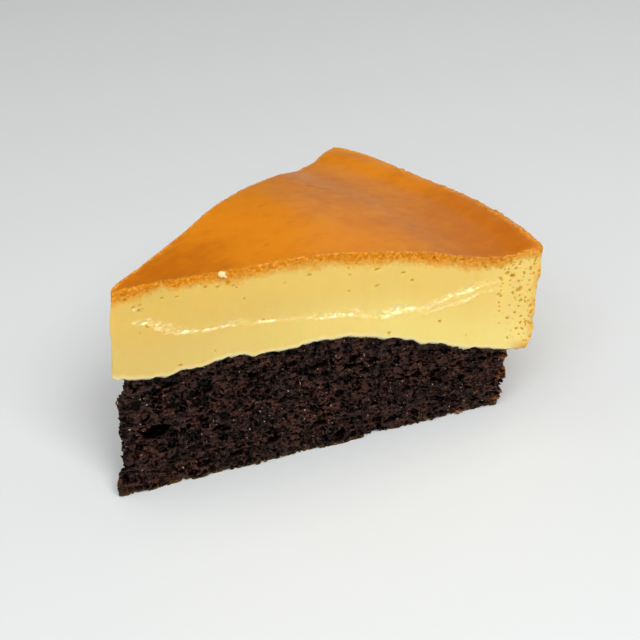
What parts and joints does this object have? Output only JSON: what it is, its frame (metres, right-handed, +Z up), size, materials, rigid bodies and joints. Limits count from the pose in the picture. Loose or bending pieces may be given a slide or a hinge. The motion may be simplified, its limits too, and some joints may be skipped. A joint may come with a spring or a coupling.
{
  "type": "slice of chocoflan cake",
  "caption": "Wedge slice of a layered dessert: chocolate cake below, baked egg custard above and a thin caramel layer on top.",
  "frame": {"origin": "under the middle of the slice's bounding box, on the surface that it stands on", "axes": "+X from the tip of the wedge to its rim along the middle of the slice, +Z up, and one cut face on each side in Y"},
  "size_m": [0.1238, 0.0935, 0.0624],
  "materials": {
    "chocolate_cake": "dark brown baked chocolate sponge, porous and crumbly at the cuts",
    "flan_custard": "pale yellow baked egg custard, smooth, moist and slightly translucent",
    "caramel_top": "orange-brown caramel soaked into the custard, wet and glossy"
  },
  "bodies": {
    "root": {"chocolate_cake": "chocolate_cake", "flan_custard": "flan_custard", "caramel_top": "caramel_top"}
  },
  "joints": []
}
